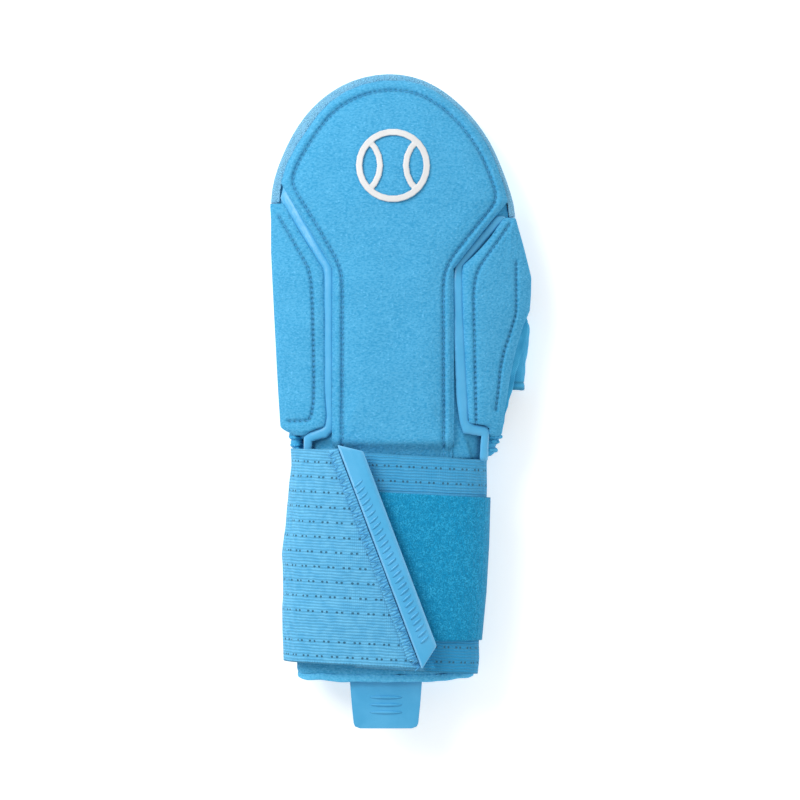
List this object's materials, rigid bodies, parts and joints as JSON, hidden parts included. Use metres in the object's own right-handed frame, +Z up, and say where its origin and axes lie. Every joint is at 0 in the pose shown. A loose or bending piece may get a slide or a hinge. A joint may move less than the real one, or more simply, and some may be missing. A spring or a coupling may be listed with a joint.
{
  "type": "sliding mitt",
  "caption": "Padded sliding mitt for the left hand with a moulded fingertip bumper, a thumb sleeve, an elastic wrist strap with a slanted pull bar, and a pull tab.",
  "frame": {"origin": "middle of the box's underside, on the surface that the mitt lies on", "axes": "+Y towards the fingertips, +X towards the thumb side, +Z up out of the back of the hand"},
  "size_m": [0.1194, 0.3008, 0.0474],
  "materials": {
    "knit_fabric": "fine napped knit over padding",
    "stretch_fabric": "smooth stretch knit",
    "ribbed_elastic": "ribbed perforated elastic",
    "brushed_loop": "brushed loop pile",
    "smooth_rubber": "satin moulded",
    "bumper_rubber": "fine mesh relief",
    "pale_rubber": "matt moulded"
  },
  "bodies": {
    "root": {"hand_pocket": "knit_fabric", "wrist_cuff": "knit_fabric", "cuff_hem": "knit_fabric", "tip_rim": "bumper_rubber", "center_panel": "knit_fabric", "side_panel_left": "knit_fabric", "side_panel_right": "knit_fabric", "channel_strip_left": "smooth_rubber", "channel_strip_right": "smooth_rubber", "thumb_sleeve": "stretch_fabric", "thumb_gusset": "stretch_fabric", "wrist_strap": "ribbed_elastic", "loop_patch": "brushed_loop", "pull_bar": "smooth_rubber", "strap_edging": "ribbed_elastic", "pull_tab": "smooth_rubber", "gather_left": "stretch_fabric", "gather_right": "stretch_fabric", "back_badge": "pale_rubber"}
  },
  "joints": []
}
